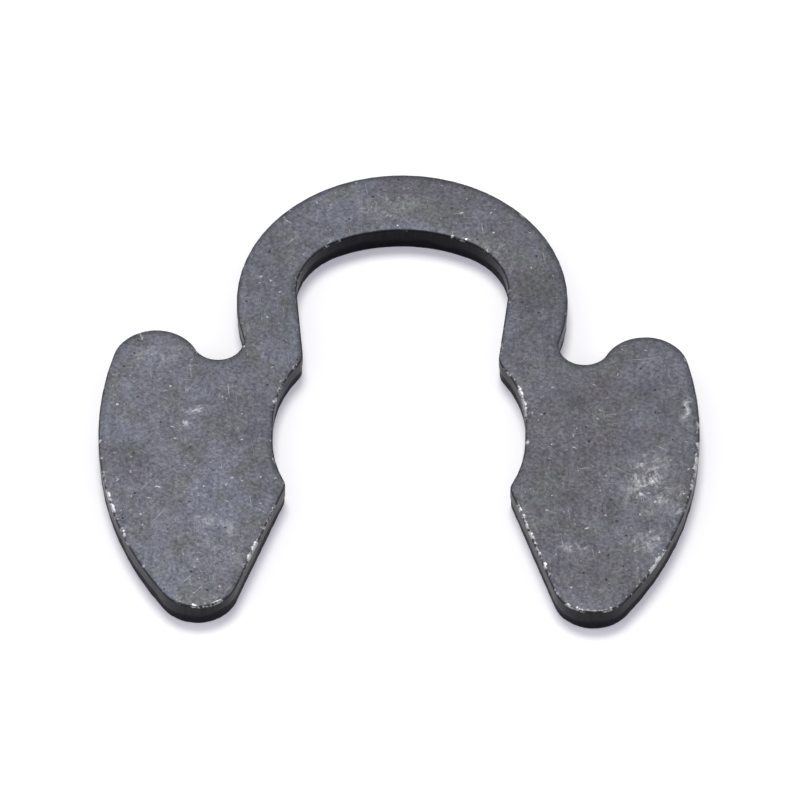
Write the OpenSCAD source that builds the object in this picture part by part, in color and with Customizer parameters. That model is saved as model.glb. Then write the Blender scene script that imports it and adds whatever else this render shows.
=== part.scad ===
// E-clip: a retaining ring for a grooved shaft, stamped in one piece from spring-steel sheet.
// A sprung bow joins two lobes. Each lobe carries an upper and a lower point, and the shaft's
// groove snaps past the lower points into the seat between them.
// The origin is on the shaft's axis, where the seat's upper end has its centre, on the
// underside. +Y runs to the bow and +Z is up.

/* [Sheet] */
// Thickness of the sheet
sheet_t = 0.6; // [0.4:0.05:1]

/* [Shaft seat] */
// Diameter of the seat's round ends, which follow the bottom of the shaft's groove
seat_d = 5.45; // [4.8:0.05:6]
// Straight run between the seat's upper and lower ends
seat_run = 0.5; // [0.3:0.05:1]
// Reach of each upper point past the side of the seat
upper_bite = 0.6; // [0.3:0.05:0.8]
// Radius on the upper points
upper_r = 0.5; // [0.3:0.05:0.7]
// Reach of each lower point past the side of the seat
lower_bite = 0.3; // [0.1:0.05:0.4]
// Radius on the lower points
lower_r = 0.3; // [0.2:0.05:0.5]

/* [Bow] */
// Outer diameter of the bow
bow_d = 7.2; // [6.6:0.1:7.8]
// Height of the bow's centre above the shaft's axis
bow_rise = 3.45; // [3.2:0.05:4]
// Width of the band at the crown of the bow
crown_w = 1.6; // [1.3:0.05:2]
// Width of the band at the sides of the bow
limb_w = 1.3; // [1:0.05:1.6]
// Radius of the inner edge at the crown
crown_r = 3.25; // [2.9:0.05:4]
// Radius of the inner edge at the corners below the crown
corner_r = 1.55; // [1.2:0.05:1.8]

/* [Lobes] */
// Reach of each lobe past the side of the bow
lobe_w = 2.9; // [2.6:0.05:3.2]
// Depth of the lobe tips below the shaft's axis
lobe_drop = 5.25; // [4.6:0.05:6.2]
// Radius of the long outer side of each lobe
side_r = 7.8; // [6.8:0.1:9]
// Radius on the lobe tips
tip_r = 0.9; // [0.6:0.05:1.1]
// Height of the notch floors above the shaft's axis
notch_h = 1.7; // [1.5:0.05:2]
// Radius of the notches between bow and shoulders
notch_r = 0.55; // [0.4:0.05:0.7]
// Radius on the shoulders
shoulder_r = 0.95; // [0.75:0.05:1.1]

/* [Hidden] */
$fn = 96;
steel = "#6f7075";
// How far cutting shapes run past the blank
past = 1;
// Overlap of arcs that touch, so that neighbouring stretches of the edge meet in one point
lap = 0.0002;

seat_r = seat_d / 2;
bow_r = bow_d / 2;
overall_w = bow_d + 2 * lobe_w;

// Centres of the seat's two round ends
seat_top = [0, 0];
seat_low = seat_top - [0, seat_run];

// Each point's circle touches the round end of the seat that it closes
upper_x = seat_r - upper_bite + upper_r;
upper_c = seat_top + [upper_x, leg(seat_r + upper_r, upper_x)];
lower_x = seat_r - lower_bite + lower_r;
lower_c = seat_low + [lower_x, -leg(seat_r + lower_r, lower_x)];

// The corners of the bow's inner edge touch the arc of the crown from inside
bow_c = [0, bow_rise];
crown_c = [0, bow_rise + bow_r - crown_w - crown_r];
corner_x = bow_r - limb_w - corner_r;
corner_c = crown_c + [corner_x, leg(crown_r - corner_r, corner_x)];

// The lobe's side is widest level with the middle of the seat, and the tip touches it from inside
side_c = [overall_w / 2 - side_r, -seat_run / 2];
tip_y = tip_r - lobe_drop;
tip_c = [side_c.x + leg(side_r - tip_r, side_c.y - tip_y), tip_y];

// The notch touches the bow, and the shoulder touches both the notch and the lobe's side
notch_y = notch_h + notch_r;
notch_c = [leg(bow_r + notch_r, bow_rise - notch_y), notch_y];
shoulder_c = crossing(side_c, side_r - shoulder_r, notch_c, notch_r + shoulder_r);

// Straight stretches: the flank of the mouth, and the inner edge of the limb
flank = touching_line(tip_c, tip_r, lower_c, lower_r);
limb = touching_line(upper_c, upper_r, corner_c, -corner_r);

// Third side of a right-angled triangle with this longest side
function leg(longest, side) = sqrt(longest * longest - side * side);

// Point at a distance from c on the way to p
function toward(c, p, distance) = c + distance * (p - c) / norm(p - c);

// Point at ra from a and at rb from b, on the right of the way from a to b
function crossing(a, ra, b, rb) =
    let (gap = norm(b - a))
    let (ahead = (b - a) / gap)
    let (along = (gap * gap + ra * ra - rb * rb) / (2 * gap))
    a + along * ahead + leg(ra, along) * [ahead.y, -ahead.x];

// Ends of the straight line that touches circle a and then circle b.
// A circle on the left of the line has its radius given as negative.
function touching_line(a, ra, b, rb) =
    let (gap = norm(b - a))
    let (ahead = (b - a) / gap)
    let (turn = (rb - ra) / gap)
    let (right = turn * ahead + leg(1, turn) * [ahead.y, -ahead.x])
    [a - ra * right, b - rb * right];

// Point where the line through p and q reaches the height y
function at_height(p, q, y) = p + (q - p) * (y - p.y) / (q.y - p.y);

function flipped(points) = [for (i = [len(points) - 1:-1:0]) [-points[i].x, points[i].y]];

// Sheet with this outline; a cutter runs past both faces of the sheet
module sheet(points, cutter = false) {
    over = cutter ? past : 0;
    translate([0, 0, -over]) linear_extrude(sheet_t + 2 * over) polygon(points);
}

module disc(centre, radius, cutter = false) {
    over = cutter ? past : 0;
    translate([centre.x, centre.y, -over]) cylinder(h = sheet_t + 2 * over, r = radius);
}

// Slice of a disc between the points p and q on its edge, less than a half turn apart
module slice(centre, radius, p, q, cutter = false) {
    reach = 2 * radius;
    intersection() {
        disc(centre, radius, cutter);
        sheet([centre, toward(centre, p, reach), toward(centre, q, reach)], cutter);
    }
}

module both_sides() {
    children();
    mirror([1, 0, 0]) children();
}

// One lobe without the opening: shoulder, long side and tip
module lobe() {
    side_top = toward(side_c, shoulder_c, side_r);
    side_end = toward(side_c, tip_c, side_r);
    sheet([
        bow_c,
        toward(bow_c, notch_c, bow_r),
        toward(notch_c, shoulder_c, notch_r),
        shoulder_c,
        tip_c,
        flank[0],
        [0, flank[0].y]
    ]);
    disc(shoulder_c, shoulder_r + lap);
    slice(side_c, side_r, side_top, side_end);
    disc(tip_c, tip_r + lap);
}

// The opening inside the clip: mouth, shaft seat and the inside of the bow
module opening() {
    corner_end = toward(crown_c, corner_c, crown_r);
    right_edge = [
        at_height(flank[0], flank[1], -lobe_drop - past),
        flank[1],
        toward(lower_c, seat_low, lower_r),
        seat_low + [seat_r, 0],
        seat_top + [seat_r, 0],
        toward(upper_c, seat_top, upper_r),
        limb[0],
        limb[1]
    ];
    difference() {
        union() {
            sheet(concat(right_edge, flipped(right_edge)), cutter = true);
            disc(seat_top, seat_r, cutter = true);
            disc(seat_low, seat_r, cutter = true);
            both_sides() disc(corner_c, corner_r + lap, cutter = true);
            slice(crown_c, crown_r, corner_end, flipped([corner_end])[0], cutter = true);
        }
        both_sides() {
            disc(lower_c, lower_r + lap, cutter = true);
            disc(upper_c, upper_r + lap, cutter = true);
        }
    }
}

module e_clip() {
    color(steel)
    difference() {
        union() {
            disc(bow_c, bow_r);
            both_sides() lobe();
        }
        both_sides() disc(notch_c, notch_r + lap, cutter = true);
        opening();
    }
}

e_clip();
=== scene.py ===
import math
import bpy
import bmesh
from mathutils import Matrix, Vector, noise
from mathutils.kdtree import KDTree


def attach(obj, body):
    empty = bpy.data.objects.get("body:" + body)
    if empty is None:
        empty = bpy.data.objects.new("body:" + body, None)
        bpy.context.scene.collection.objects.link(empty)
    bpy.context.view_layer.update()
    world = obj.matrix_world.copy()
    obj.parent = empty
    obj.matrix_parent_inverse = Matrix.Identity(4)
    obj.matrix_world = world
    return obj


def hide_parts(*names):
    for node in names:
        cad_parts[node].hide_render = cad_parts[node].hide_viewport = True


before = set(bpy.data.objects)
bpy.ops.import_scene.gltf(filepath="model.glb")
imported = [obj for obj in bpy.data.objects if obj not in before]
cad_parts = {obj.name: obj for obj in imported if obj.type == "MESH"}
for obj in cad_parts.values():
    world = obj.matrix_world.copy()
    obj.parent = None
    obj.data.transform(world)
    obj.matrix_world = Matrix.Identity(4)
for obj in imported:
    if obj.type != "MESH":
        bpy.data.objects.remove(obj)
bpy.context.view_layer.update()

mm = 0.001
hair = 1e-7                  # metres; points this close are one
flatNormal = 0.9             # a normal that rises or falls more than this belongs to a flat face


def addObject(name, data):
    thing = bpy.data.objects.new(name, data)
    bpy.context.collection.objects.link(thing)
    return thing


def makeMesh(name, bm):
    mesh = bpy.data.meshes.new(name)
    bm.to_mesh(mesh)
    bm.free()
    return mesh


def makeMaterial(name):
    material = bpy.data.materials.new(name)
    material.use_nodes = True
    tree = material.node_tree
    return material, tree, tree.nodes["Principled BSDF"]


clip = {
    "mergeAngle": 0.001,     # radians; faces that bend less than this are one
    "columnStep": 0.09,      # width of a column of faces along the cut edge
    "columnSlack": 1.3,      # a column wider than this many steps is halved
    "halvings": 4,
    "arcSmooth": 0.125,      # moves each cut out onto its arc
    "straightFrom": 1.2,     # longer edges are straight runs
    "wallRows": 9,
    "topRound": 0.035,       # tumbled rounding of the upper rim
    "topSegments": 4,
    "lowRound": 0.02,
    "lowSegments": 2,
    "rings": [0.03, 0.035, 0.05, 0.06],   # widths of the face's rings inside the rounding
    "rollWidth": 0.2,        # the upper face rolls down over this width
    "rollDepth": 0.02,
    "rollFrom": 0.5,         # share of the height where the roll begins
    "rollGrowth": 0.45,      # share of the height over which it reaches its depth
    "rimWear": 0.012,
    "wearReach": 0.1,        # wear stays this close to the outline
    "wearHeight": 0.07,      # and fades over this height
    "wearDown": 0.6,         # how much of it lowers the rim
    "ripple": 0.35,          # share of the wear in ripples
    "rippleScale": 7,
    "knock": 1.3,            # share of the wear in knocks
    "knockScale": 2.3,
    "knockShift": (3, 1, 7),
    "burnish": 0.5,          # smooth share of the cut edge, below the upper face
    "tearWave": 0.16,        # how far the line below it wanders, as a share of the height
    "tearWaveScale": 1.7,
    "tearBlend": 0.12,
    "tornReach": 0.03,
    "tornDepth": 0.018,      # how far the torn share stands back
    "tornRough": 0.008,
    "tornScale": (6, 11),    # along the edge and up it
}


def isFlat(edge):
    return abs(edge.verts[0].co.z - edge.verts[1].co.z) < hair


def cutWall(bm, size):
    # without its two faces the wall is an open ribbon, so smooth cuts stay on the arcs
    faces = [f for f in bm.faces if abs(f.normal.z) > flatNormal]
    bmesh.ops.delete(bm, geom=faces, context="FACES_ONLY")
    step, straight = size["columnStep"] * mm, size["straightFrom"] * mm
    widest = step * size["columnSlack"]
    for turn in range(size["halvings"]):
        bm.normal_update()
        wide = [e for e in bm.edges if isFlat(e) and widest < e.calc_length() < straight]
        bmesh.ops.subdivide_edges(bm, edges=wide, cuts=1, smooth=size["arcSmooth"], use_grid_fill=True)
    runs = {}
    for e in bm.edges:
        if isFlat(e) and e.calc_length() >= straight:
            runs.setdefault(round(e.calc_length() / step), []).append(e)
    for count, edges in runs.items():
        bmesh.ops.subdivide_edges(bm, edges=edges, cuts=count - 1, use_grid_fill=True)
    bm.normal_update()


def readOutline(bm, height):
    # points of the upper rim, with the directions that lead out of the steel
    rim = [v for v in bm.verts if v.co.z > height - hair]
    outline = KDTree(len(rim))
    for i, v in enumerate(rim):
        outline.insert((v.co.x, v.co.y, 0), i)
    outline.balance()
    return outline, [Vector((v.normal.x, v.normal.y, 0)).normalized() for v in rim]


def closeFaces(bm, size, height):
    # both faces, each with a rounded rim and rings inside it
    rims = ((height, size["topRound"], size["topSegments"]), (0, size["lowRound"], size["lowSegments"]))
    for level, rounding, segments in rims:
        rim = [e for e in bm.edges if e.is_boundary and abs(e.verts[0].co.z - level) < hair]
        face = bmesh.ops.contextual_create(bm, geom=rim)["faces"][0]
        bmesh.ops.bevel(bm, geom=list(face.edges), offset=rounding * mm, offset_type="OFFSET",
                        segments=segments, profile=0.5, affect="EDGES", material=-1)
    for side in (1, -1):
        face = max(bm.faces, key=lambda f: f.calc_area() * (f.normal.z * side > flatNormal))
        for width in size["rings"]:
            bmesh.ops.inset_region(bm, faces=[face], thickness=width * mm, depth=0,
                                   use_even_offset=True, use_boundary=True)
    bmesh.ops.triangulate(bm, faces=[f for f in bm.faces if len(f.verts) > 4])


def rollFace(v, away, size, height):
    # the punch draws the upper face down towards the cut edge
    upper = min(1, (v.co.z / height - size["rollFrom"]) / size["rollGrowth"])
    if upper > 0 and away < size["rollWidth"]:
        v.co.z -= (1 - away / size["rollWidth"]) ** 2 * size["rollDepth"] * mm * upper


def wearRim(v, out, size, height):
    # tumbling eats the upper rim unevenly, more where it was knocked
    spot = v.co / mm
    knock = max(0, noise.noise(spot * size["knockScale"] + Vector(size["knockShift"]))) ** 2
    ripple = noise.noise(spot * size["rippleScale"]) * 0.5 + 0.5
    nearRim = math.exp(-((height - v.co.z) / mm / size["wearHeight"]) ** 2)
    eaten = size["rimWear"] * mm * nearRim * (size["ripple"] * ripple + size["knock"] * knock)
    v.co -= out * eaten
    v.co.z -= eaten * size["wearDown"]


def tearWall(v, out, size, height):
    # below the burnished share the steel tore off, so it is rough and stands back
    x, y, z = v.co / mm
    wave = noise.noise(Vector((x, y, 4)) * size["tearWaveScale"])   # any slice of the noise will do
    line = 1 - size["burnish"] + size["tearWave"] * wave
    torn = min(1, max(0, (line - v.co.z / height) / size["tearBlend"]))
    along, up = size["tornScale"]
    rough = noise.noise(Vector((x * along, y * along, z * up)))
    return torn, -out * torn * (size["tornDepth"] + size["tornRough"] * rough) * mm


def buildClip(blank, size):
    bm = bmesh.new()
    bm.from_mesh(blank.data)
    bmesh.ops.remove_doubles(bm, verts=bm.verts, dist=hair)
    bmesh.ops.dissolve_limit(bm, angle_limit=size["mergeAngle"], verts=bm.verts, edges=bm.edges)
    height = max(v.co.z for v in bm.verts)
    cutWall(bm, size)
    outline, outward = readOutline(bm, height)
    posts = [e for e in bm.edges if not isFlat(e)]
    bmesh.ops.subdivide_edges(bm, edges=posts, cuts=size["wallRows"] - 1, use_grid_fill=True)
    closeFaces(bm, size, height)

    # the material reads how far each point is from the outline, and how torn it is
    rimDistance = bm.verts.layers.float.new("rimDistance")
    torn = bm.verts.layers.float.new("torn")
    for v in bm.verts:
        index, distance = outline.find((v.co.x, v.co.y, 0))[1:]
        away = distance / mm
        v[rimDistance] = away
        rollFace(v, away, size, height)
        if away < size["wearReach"]:
            wearRim(v, outward[index], size, height)
        v[torn], shift = tearWall(v, outward[index], size, height)
        if away < size["tornReach"]:
            v.co += shift
    print("clip has", len(bm.verts), "points and", len(bm.faces), "faces")
    mesh = makeMesh("clipSteel", bm)
    mesh.shade_smooth()
    return mesh


def addNode(tree, kind, values=None, **settings):
    node = tree.nodes.new(kind)
    for name, value in settings.items():
        setattr(node, name, value)
    for name, value in (values or {}).items():
        if isinstance(value, bpy.types.NodeSocket):
            tree.links.new(value, node.inputs[name])
        else:
            node.inputs[name].default_value = value
    return node


def calc(tree, operation, a, b):
    return addNode(tree, "ShaderNodeMath", {0: a, 1: b}, operation=operation).outputs[0]


def ramp(tree, value, low, high, toLow=0.0, toHigh=1.0, smooth=False):
    kind = "SMOOTHSTEP" if smooth else "LINEAR"
    values = {"Value": value, "From Min": low, "From Max": high, "To Min": toLow, "To Max": toHigh}
    return addNode(tree, "ShaderNodeMapRange", values, interpolation_type=kind).outputs[0]


def mixValue(tree, factor, a, b):
    # the node's sockets go by kind: 2 and 3 take values, 6 and 7 colours
    return addNode(tree, "ShaderNodeMix", {0: factor, 2: a, 3: b}).outputs[0]


def mixColour(tree, factor, a, b, blend="MIX"):
    # colours are (r, g, b) or sockets
    a, b = ((*colour, 1) if isinstance(colour, tuple) else colour for colour in (a, b))
    values = {0: factor, 6: a, 7: b}
    return addNode(tree, "ShaderNodeMix", values, data_type="RGBA", blend_type=blend).outputs[2]


def speckle(tree, place, grade, cell=None, turn=0):
    # grade is scale, detail and roughness
    # cell stretches the pattern to this width and length, turned by so many degrees
    if cell:
        values = {"Vector": place, "Scale": (*cell, 1), "Rotation": (0, 0, math.radians(turn))}
        place = addNode(tree, "ShaderNodeMapping", values, vector_type="TEXTURE").outputs[0]
    scale, detail, rough = grade
    values = {"Vector": place, "Scale": scale, "Detail": detail, "Roughness": rough}
    return addNode(tree, "ShaderNodeTexNoise", values).outputs[0]


def pattern(tree, place, grade, spread, smooth=False, cell=None, turn=0):
    return ramp(tree, speckle(tree, place, grade, cell, turn), *spread, smooth=smooth)


steel = {
    "blueGrey": (0.109, 0.116, 0.144),
    "plumGrey": (0.088, 0.084, 0.099),
    "oliveGrey": (0.095, 0.098, 0.107),
    "bare": (0.60, 0.60, 0.63),
    "dirt": (0.02, 0.02, 0.022),
    "burnished": (0.025, 0.024, 0.028),
    "torn": (0.019, 0.0195, 0.026),
    # painted shade, used on the cut edge inside the bow
    "bowShadeColour": (0.008, 0.0075, 0.011),
    "bareSmooth": 0.14,                        # how much smoother bare metal is
    "slant": (0.5, 0.35, 0.6),                 # radians
    "relief": 0.0022,                          # what one unit of height stands for
    "heights": {"dents": 2.6, "grain": 1.6, "crystals": -0.5, "scratches": -0.5, "pits": -2.5},
    "crystals": 15,                            # cells to a millimetre, as for the pits
    "pits": 2.6,
    "pitDirt": 0.7,
    "scratchShine": 0.22,
    "wallShine": 0.8,                          # how bare the cut edge is below a worn rim
    # noise: scale, detail and roughness
    "grain": (13, 6, 0.75),
    "chips": (8, 3, 0.6),
    "knocks": (4.2, 5, 0.7),
    "dents": (2.4, 4, 0.6),
    "scratch": (1.0, 2, 0.5),
    # patterns: a noise, and how a range of it is spread
    "clouds": {"grade": (0.75, 4, 0.6), "spread": (0.35, 0.65, 0.0, 0.7), "smooth": True},
    "drifts": {"grade": (1.3, 3, 0.5), "spread": (0.45, 0.68), "smooth": True, "cell": (1, 0.8), "turn": 40},
    "blotches": {"grade": (2.6, 6, 0.7), "spread": (0.3, 0.7, 0.81, 1.19)},
    "drawn": {"grade": (1.0, 3, 0.6), "spread": (0.3, 0.7, 0.9, 1.1), "cell": (0.09, 1.25), "turn": 2},
    "flecks": {"grade": (9.5, 2, 0.5), "spread": (0.70, 0.76, 0.0, 0.4)},
    "scuffs": {"grade": (3.0, 5, 0.7), "spread": (0.38, 0.60)},
    "strokes": {"grade": (1.0, 5, 0.75), "spread": (0.47, 0.68), "cell": (0.11, 0.30), "turn": 14},
    "crossed": {"grade": (1.0, 5, 0.75), "spread": (0.50, 0.70), "cell": (0.10, 0.36), "turn": -62},
    "wallLines": {"grade": (1.0, 4, 0.6), "spread": (0.3, 0.7, 0.75, 1.3), "cell": (0.06, 0.06)},
    "crumbs": {"grade": (16, 5, 0.7), "spread": (0.3, 0.7, 0.75, 1.25)},
    # ranges, and what their ends become where that isn't 0 and 1
    "faceFrom": (0.004, 0.03),                 # inward from the outline
    "upperFrom": (0.25, 0.35),                 # up through the sheet
    "plumToRight": (-3.0, 4.0, 0.0, 0.3),
    "palerToLeft": (-3.2, -4.8, 1.0, 1.09),
    "grainTones": (0.28, 0.72, 0.58, 1.42),
    "faceRough": (0.3, 0.7, 0.60, 0.48),       # by the grain
    "wallRough": (0, 1, 0.42, 0.62),           # from burnished to torn
    "wallRelief": (0, 1, 0.5, 1.5),
    "chipDepth": (0.48, 0.75, 0.0, 0.07),
    "chipped": (0.39, 0.49),
    "knocked": (0.56, 0.67),
    "rimBand": (0.055, 0.015),                 # inward from the outline
    "rimFrom": (0.52, 0.56),                   # up through the sheet
    "pitEdge": (0.075, 0.05),
    # width, length, turn and least noise of each set of hair scratches
    "scratches": [
        (0.038, 0.9, 9, 0.70),
        (0.033, 0.8, 97, 0.71),
        (0.045, 1.1, -38, 0.71),
        (0.04, 0.7, 58, 0.72),
    ],
    "scratchEdge": 0.06,
    # places below are x, y, half width, half length, turn and strength
    "rubs": [                                  # upper face rubbed pale
        (5.45, -1.65, 0.85, 1.20, 0, 0.68),
        (5.55, -1.35, 0.32, 0.60, 10, 0.66),
        (6.20, 0.50, 0.16, 0.55, -8, 0.80),
        (5.60, -3.95, 0.26, 0.36, -24, 0.80),
        (6.08, -2.25, 0.22, 0.60, -14, 0.80),
        (5.45, -3.25, 0.60, 0.40, 25, 0.66),
        (3.80, -3.50, 0.50, 0.32, 0, 0.36),
        (-4.40, 0.25, 0.45, 0.12, 8, 0.80),
        (-4.65, -0.15, 0.20, 0.16, 0, 0.60),
        (-0.30, 6.10, 0.85, 0.45, 15, 0.42),
        (-5.20, 1.80, 0.80, 0.40, 10, 0.38),
        (-3.85, -2.95, 0.60, 0.40, 0, 0.36),
        (-3.60, -3.60, 1.10, 1.00, 0, 0.22),
    ],
    "wornRims": [                              # oxide knocked off the upper rim
        (2.70, 0.80, 0.30, 1.30, 0, 0.24),
        (3.05, -3.10, 0.45, 1.50, 22, 0.25),
        (6.35, -1.20, 0.40, 1.70, 0, 0.17),
        (5.80, -3.80, 0.50, 1.10, -24, 0.18),
        (4.20, -5.10, 0.90, 0.35, 0, 0.10),
        (-6.05, -2.60, 0.45, 1.60, 14, 0.17),
        (-3.00, -3.30, 0.40, 1.30, -24, 0.18),
        (-4.20, -5.10, 0.80, 0.35, 0, 0.12),
        (-2.70, 0.80, 0.25, 0.80, 0, 0.13),
        (5.30, 1.95, 0.80, 0.30, 0, 0.08),
        (6.10, 0.80, 0.35, 0.60, 0, 0.12),
        (1.90, 5.00, 0.50, 0.30, -35, 0.08),
    ],
    "stains": [                                # upper face darker, where oil and dirt stayed
        (-5.80, -1.00, 0.55, 0.70, 0, 0.16),
        (-3.75, 1.40, 0.80, 0.60, 20, 0.14),
        (-2.95, 3.50, 0.80, 1.60, 0, 0.10),
        (3.60, 0.60, 0.90, 0.70, 0, 0.12),
        (2.95, 3.30, 0.90, 1.80, 0, 0.22),
        (5.40, 0.90, 1.00, 1.00, 0, 0.10),
        (6.15, 0.50, 0.07, 0.06, 0, 0.75),
        (-0.60, 5.50, 0.05, 0.04, 0, 0.70),
    ],
    "bowEdgeShade": [                            # painted shade: the cut edge inside the bow is darkened as if in shadow
        (0.00, 5.30, 3.20, 1.30, 0, 0.80),
    ],
    "spotEdge": (1.0, 0.15),                   # places fade in between these shares of their size
    "spotHeight": 1000,                        # far more than the sheet, so height doesn't matter
}


def spotMask(tree, place, spots, look):
    mask = 0.0
    for x, y, width, length, turn, strength in spots:
        values = {"Vector": place, "Location": (x, y, 0), "Scale": (width, length, look["spotHeight"]),
                  "Rotation": (0, 0, math.radians(turn))}
        local = addNode(tree, "ShaderNodeMapping", values, vector_type="TEXTURE").outputs[0]
        reach = addNode(tree, "ShaderNodeVectorMath", {0: local}, operation="LENGTH").outputs["Value"]
        mask = calc(tree, "MAXIMUM", mask, ramp(tree, reach, *look["spotEdge"], 0.0, strength, smooth=True))
    return mask


def oxideColour(tree, place, slanted, grain, look):
    # soft patches of blue, plum and olive grey, then blotches, drawn lines and grain
    across = addNode(tree, "ShaderNodeSeparateXYZ", {0: place}).outputs["X"]
    clouds = pattern(tree, place, **look["clouds"])
    plum = calc(tree, "ADD", clouds, ramp(tree, across, *look["plumToRight"]))
    colour = mixColour(tree, plum, look["blueGrey"], look["plumGrey"])
    colour = mixColour(tree, pattern(tree, place, **look["drifts"]), colour, look["oliveGrey"])
    for tone in (pattern(tree, slanted, **look["blotches"]),
                 pattern(tree, place, **look["drawn"]),
                 ramp(tree, grain, *look["grainTones"]),
                 ramp(tree, across, *look["palerToLeft"])):
        colour = mixColour(tree, 1.0, colour, tone, "MULTIPLY")
    return colour


def hairScratches(tree, place, look):
    mask = 0.0
    for width, length, turn, least in look["scratches"]:
        spread = (least, least + look["scratchEdge"])
        lines = pattern(tree, place, look["scratch"], spread, cell=(width, length), turn=turn)
        mask = calc(tree, "MAXIMUM", mask, lines)
    return mask


def bareMetal(tree, place, scratches, upperSide, look):
    # flecks, scratches and rubbed places
    rubbed = calc(tree, "MULTIPLY", spotMask(tree, place, look["rubs"], look), upperSide)
    strokes = [pattern(tree, place, **look[name]) for name in ("strokes", "crossed")]
    for part in (pattern(tree, place, **look["scuffs"]), calc(tree, "MAXIMUM", *strokes)):
        rubbed = calc(tree, "MULTIPLY", rubbed, part)
    shine = calc(tree, "MULTIPLY", scratches, look["scratchShine"])
    bare = calc(tree, "MAXIMUM", pattern(tree, place, **look["flecks"]), shine)
    return calc(tree, "MAXIMUM", bare, rubbed)


def wornRim(tree, place, rim, level, look):
    # bare chips along the upper rim, where it was knocked
    chips = speckle(tree, place, look["chips"])
    inward = calc(tree, "SUBTRACT", rim, ramp(tree, chips, *look["chipDepth"]))
    band = calc(tree, "MULTIPLY", ramp(tree, inward, *look["rimBand"]), ramp(tree, level, *look["rimFrom"]))
    knocks = spotMask(tree, place, look["wornRims"], look)
    knocks = calc(tree, "ADD", speckle(tree, place, look["knocks"]), knocks)
    worn = calc(tree, "MULTIPLY", ramp(tree, knocks, *look["knocked"]), ramp(tree, chips, *look["chipped"]))
    return calc(tree, "MULTIPLY", worn, band)


def cutEdge(tree, place, torn, rimWorn, look):
    # drawn lines on the burnished share, crumbs on the torn one
    lines, crumbs = (pattern(tree, place, **look[name]) for name in ("wallLines", "crumbs"))
    texture = mixValue(tree, torn, lines, crumbs)
    wall = mixColour(tree, torn, look["burnished"], look["torn"])
    # painted shade: the cut edge inside the bow is made darker, standing in for the shadow there
    wall = mixColour(tree, spotMask(tree, place, look["bowEdgeShade"], look), wall, look["bowShadeColour"])
    wall = mixColour(tree, 1.0, wall, texture, "MULTIPLY")
    shine = calc(tree, "MULTIPLY", rimWorn, look["wallShine"])
    return mixColour(tree, shine, wall, look["bare"]), texture


def cellDistance(tree, place, scale):
    return addNode(tree, "ShaderNodeTexVoronoi", {"Vector": place, "Scale": scale}).outputs["Distance"]


def steelMaterial(look):
    material, tree, shader = makeMaterial("blackenedSteel")
    shader.inputs["Metallic"].default_value = 1.0
    place = addNode(tree, "ShaderNodeTexCoord").outputs["Object"]
    place = addNode(tree, "ShaderNodeMapping", {"Vector": place, "Scale": [1 / mm] * 3}).outputs[0]
    level = addNode(tree, "ShaderNodeSeparateXYZ", {0: place}).outputs["Z"]
    rim, torn = (addNode(tree, "ShaderNodeAttribute", attribute_name=name).outputs["Fac"]
                 for name in ("rimDistance", "torn"))
    onFace = ramp(tree, rim, *look["faceFrom"])
    upperSide = ramp(tree, level, *look["upperFrom"])
    # a slanted slice hides the grid that the noise is built on
    slanted = addNode(tree, "ShaderNodeMapping", {"Vector": place, "Rotation": look["slant"]}).outputs[0]
    grain = speckle(tree, slanted, look["grain"])
    scratches = hairScratches(tree, place, look)

    rimWorn = wornRim(tree, place, rim, level, look)
    bare = calc(tree, "MULTIPLY", bareMetal(tree, place, scratches, upperSide, look), onFace)
    bare = calc(tree, "MAXIMUM", bare, rimWorn)
    pits = ramp(tree, cellDistance(tree, place, look["pits"]), *look["pitEdge"])
    pits = calc(tree, "MULTIPLY", pits, onFace)
    stains = calc(tree, "MULTIPLY", spotMask(tree, place, look["stains"], look), upperSide)
    dirt = calc(tree, "MAXIMUM", stains, calc(tree, "MULTIPLY", pits, look["pitDirt"]))

    wall, wallTexture = cutEdge(tree, place, torn, rimWorn, look)
    face = oxideColour(tree, place, slanted, grain, look)
    face = mixColour(tree, bare, face, look["bare"])
    face = mixColour(tree, dirt, face, look["dirt"])
    tree.links.new(mixColour(tree, onFace, wall, face), shader.inputs["Base Color"])

    faceRough = ramp(tree, grain, *look["faceRough"])
    faceRough = calc(tree, "SUBTRACT", faceRough, calc(tree, "MULTIPLY", bare, look["bareSmooth"]))
    rough = mixValue(tree, onFace, ramp(tree, torn, *look["wallRough"]), faceRough)
    tree.links.new(rough, shader.inputs["Roughness"])

    # relief of dents, grain and crystals, cut by scratches and pits
    parts = {"dents": speckle(tree, place, look["dents"]), "grain": grain, "scratches": scratches,
             "crystals": cellDistance(tree, place, look["crystals"]), "pits": pits}
    relief = 0.0
    for name, height in look["heights"].items():
        relief = calc(tree, "ADD", relief, calc(tree, "MULTIPLY", parts[name], height))
    wallRelief = calc(tree, "MULTIPLY", wallTexture, ramp(tree, torn, *look["wallRelief"]))
    values = {"Height": mixValue(tree, onFace, wallRelief, relief), "Distance": look["relief"] * mm}
    tree.links.new(addNode(tree, "ShaderNodeBump", values).outputs[0], shader.inputs["Normal"])
    return material


piece = addObject("clipSteel", buildClip(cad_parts["e_clip"], clip))
piece.data.materials.append(steelMaterial(steel))
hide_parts("e_clip")
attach(piece, "root")
print("clip dressed")


paper = {
    "size": 2000,
    "gap": 0.005,                     # the sheet lies this far above the paper
    "clearWithin": 0.05,              # nearer reflections and shadows pass, which lights the underside
    "colour": (0.97, 0.975, 0.95),
    "glow": (0.15, 0.14, 0.19),       # added for the camera and reflections, so open paper is white
    "rough": 0.9,
    "specular": 0.1,
    "fibre": {"grade": (2500, 3, 0.55), "spread": (0, 1, 0.985, 1.015)},   # scale to a metre
}


def layPaper(look):
    bm = bmesh.new()
    bmesh.ops.create_grid(bm, x_segments=2, y_segments=2, size=look["size"] * mm / 2)
    bmesh.ops.translate(bm, vec=(0, 0, -look["gap"] * mm), verts=bm.verts)
    floor = addObject("paper", makeMesh("paper", bm))
    floor.data.materials.append(paperMaterial(look))


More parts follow.
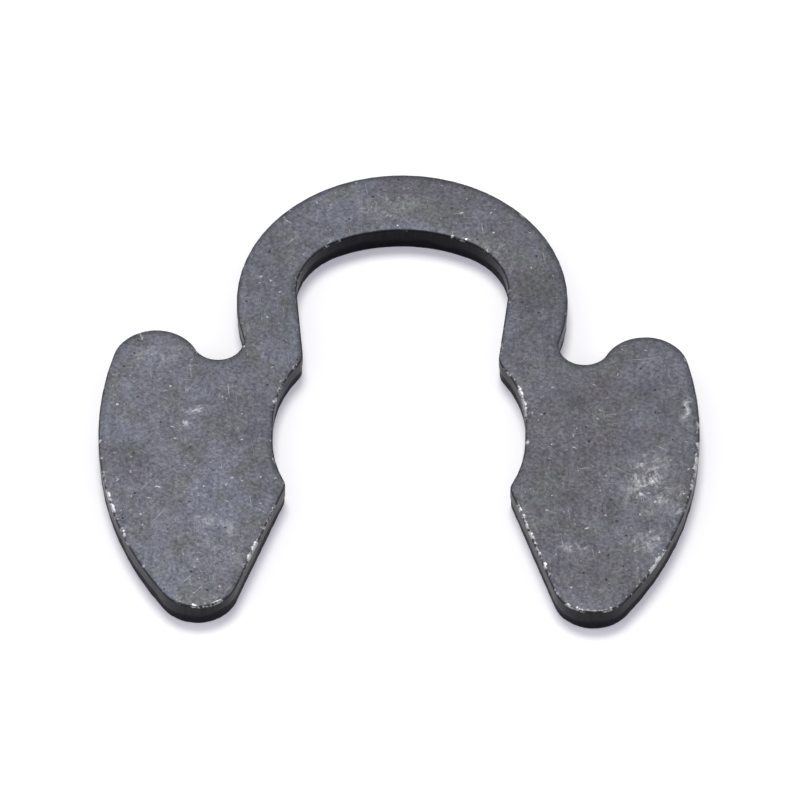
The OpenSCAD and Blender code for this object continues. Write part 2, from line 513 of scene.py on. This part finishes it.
def paperMaterial(look):
    # matt white paper, seen through from below
    material, tree, shader = makeMaterial("whitePaper")
    shader.inputs["Roughness"].default_value = look["rough"]
    shader.inputs["Specular IOR Level"].default_value = look["specular"]
    place = addNode(tree, "ShaderNodeTexCoord").outputs["Object"]
    fibre = pattern(tree, place, **look["fibre"])
    tree.links.new(mixColour(tree, 1.0, look["colour"], fibre, "MULTIPLY"), shader.inputs["Base Color"])
    ray = addNode(tree, "ShaderNodeLightPath").outputs
    seen = calc(tree, "MAXIMUM", ray["Is Camera Ray"], ray["Is Glossy Ray"])
    shader.inputs["Emission Color"].default_value = (*look["glow"], 1)
    tree.links.new(seen, shader.inputs["Emission Strength"])
    clear = addNode(tree, "ShaderNodeBsdfTransparent").outputs[0]
    below = addNode(tree, "ShaderNodeNewGeometry").outputs["Backfacing"]
    bounced = calc(tree, "MAXIMUM", ray["Is Glossy Ray"], ray["Is Shadow Ray"])
    near = calc(tree, "LESS_THAN", ray["Ray Length"], look["clearWithin"] * mm)
    through = calc(tree, "MAXIMUM", below, calc(tree, "MULTIPLY", bounced, near))
    surface = addNode(tree, "ShaderNodeMixShader", {0: through, 1: shader.outputs[0], 2: clear}).outputs[0]
    tree.links.new(surface, tree.nodes["Material Output"].inputs["Surface"])
    return material


room = {
    "back": (0.12, 0.12, 0.13),       # low behind the bow
    "top": (0.34, 0.35, 0.37),
    "front": (0.42, 0.42, 0.44),
    "below": (1.20, 1.20, 1.24),
    "leftBox": (1.50, 1.52, 1.60),
    "rightBox": (1.20, 1.20, 1.26),
    "seen": (1.0, 1.0, 1.0),          # what the camera sees of it
    # where each part fades in, as shares of a direction's length
    "topFrom": (0.25, 0.85),
    "frontFrom": (0.0, -0.4),
    "belowFrom": (0.0, -0.1),
    "boxFoot": (0.2, 0.4),
    "boxHead": (0.85, 0.65),
    "boxBeside": (0.45, 0.75),
}


def hangRoom(look):
    # a grey tent with a tall softbox on each side
    world = bpy.data.worlds.new("room")
    bpy.context.scene.world = world
    world.use_nodes = True
    tree = world.node_tree
    direction = addNode(tree, "ShaderNodeTexCoord").outputs["Generated"]
    across, along, up = addNode(tree, "ShaderNodeSeparateXYZ", {0: direction}).outputs
    sky = mixColour(tree, ramp(tree, up, *look["topFrom"], smooth=True), look["back"], look["top"])
    sky = mixColour(tree, ramp(tree, along, *look["frontFrom"], smooth=True), sky, look["front"])
    foot, head = (ramp(tree, up, *look[name], smooth=True) for name in ("boxFoot", "boxHead"))
    tall = calc(tree, "MULTIPLY", foot, head)
    for box, side in (("leftBox", -1), ("rightBox", 1)):
        beside = ramp(tree, calc(tree, "MULTIPLY", across, side), *look["boxBeside"], smooth=True)
        sky = mixColour(tree, calc(tree, "MULTIPLY", beside, tall), sky, look[box])
    sky = mixColour(tree, ramp(tree, up, *look["belowFrom"]), sky, look["below"])
    ray = addNode(tree, "ShaderNodeLightPath").outputs
    sky = mixColour(tree, ray["Is Camera Ray"], sky, look["seen"])
    tree.links.new(sky, tree.nodes["Background"].inputs["Color"])


softbox = {
    "power": 2.35,                    # watts
    "place": (-40, 270, 590),
    "across": 280,
    "colour": (1.0, 0.985, 0.95),
}


def hangSoftbox(look):
    data = bpy.data.lights.new("softbox", "AREA")
    data.shape = "DISK"
    data.size = look["across"] * mm
    data.energy = look["power"]
    data.color = look["colour"]
    light = addObject("softbox", data)
    light.location = Vector(look["place"]) * mm
    light.rotation_euler = light.location.to_track_quat("Z", "Y").to_euler()


shot = {
    "aim": (0, 0.85, 0.3),
    "distance": 385,
    "turn": 1.06,                     # round from the mouth side
    "height": 50.0,                   # angle above the paper
    "lens": 800.0,
    "sensor": 36,
    "nearest": 10,
}


def setCamera(look):
    data = bpy.data.cameras.new("camera")
    data.lens = look["lens"]
    data.sensor_width = look["sensor"]
    data.clip_start = look["nearest"] * mm
    camera = addObject("camera", data)
    turn, height = math.radians(look["turn"]), math.radians(look["height"])
    back = Vector((math.sin(turn) * math.cos(height), -math.cos(turn) * math.cos(height), math.sin(height)))
    camera.location = (Vector(look["aim"]) + back * look["distance"]) * mm
    camera.rotation_euler = back.to_track_quat("Z", "Y").to_euler()
    bpy.context.scene.camera = camera


layPaper(paper)
hangRoom(room)
hangSoftbox(softbox)
setCamera(shot)
bpy.context.scene.view_settings.view_transform = "Standard"
print("paper, light and camera set")
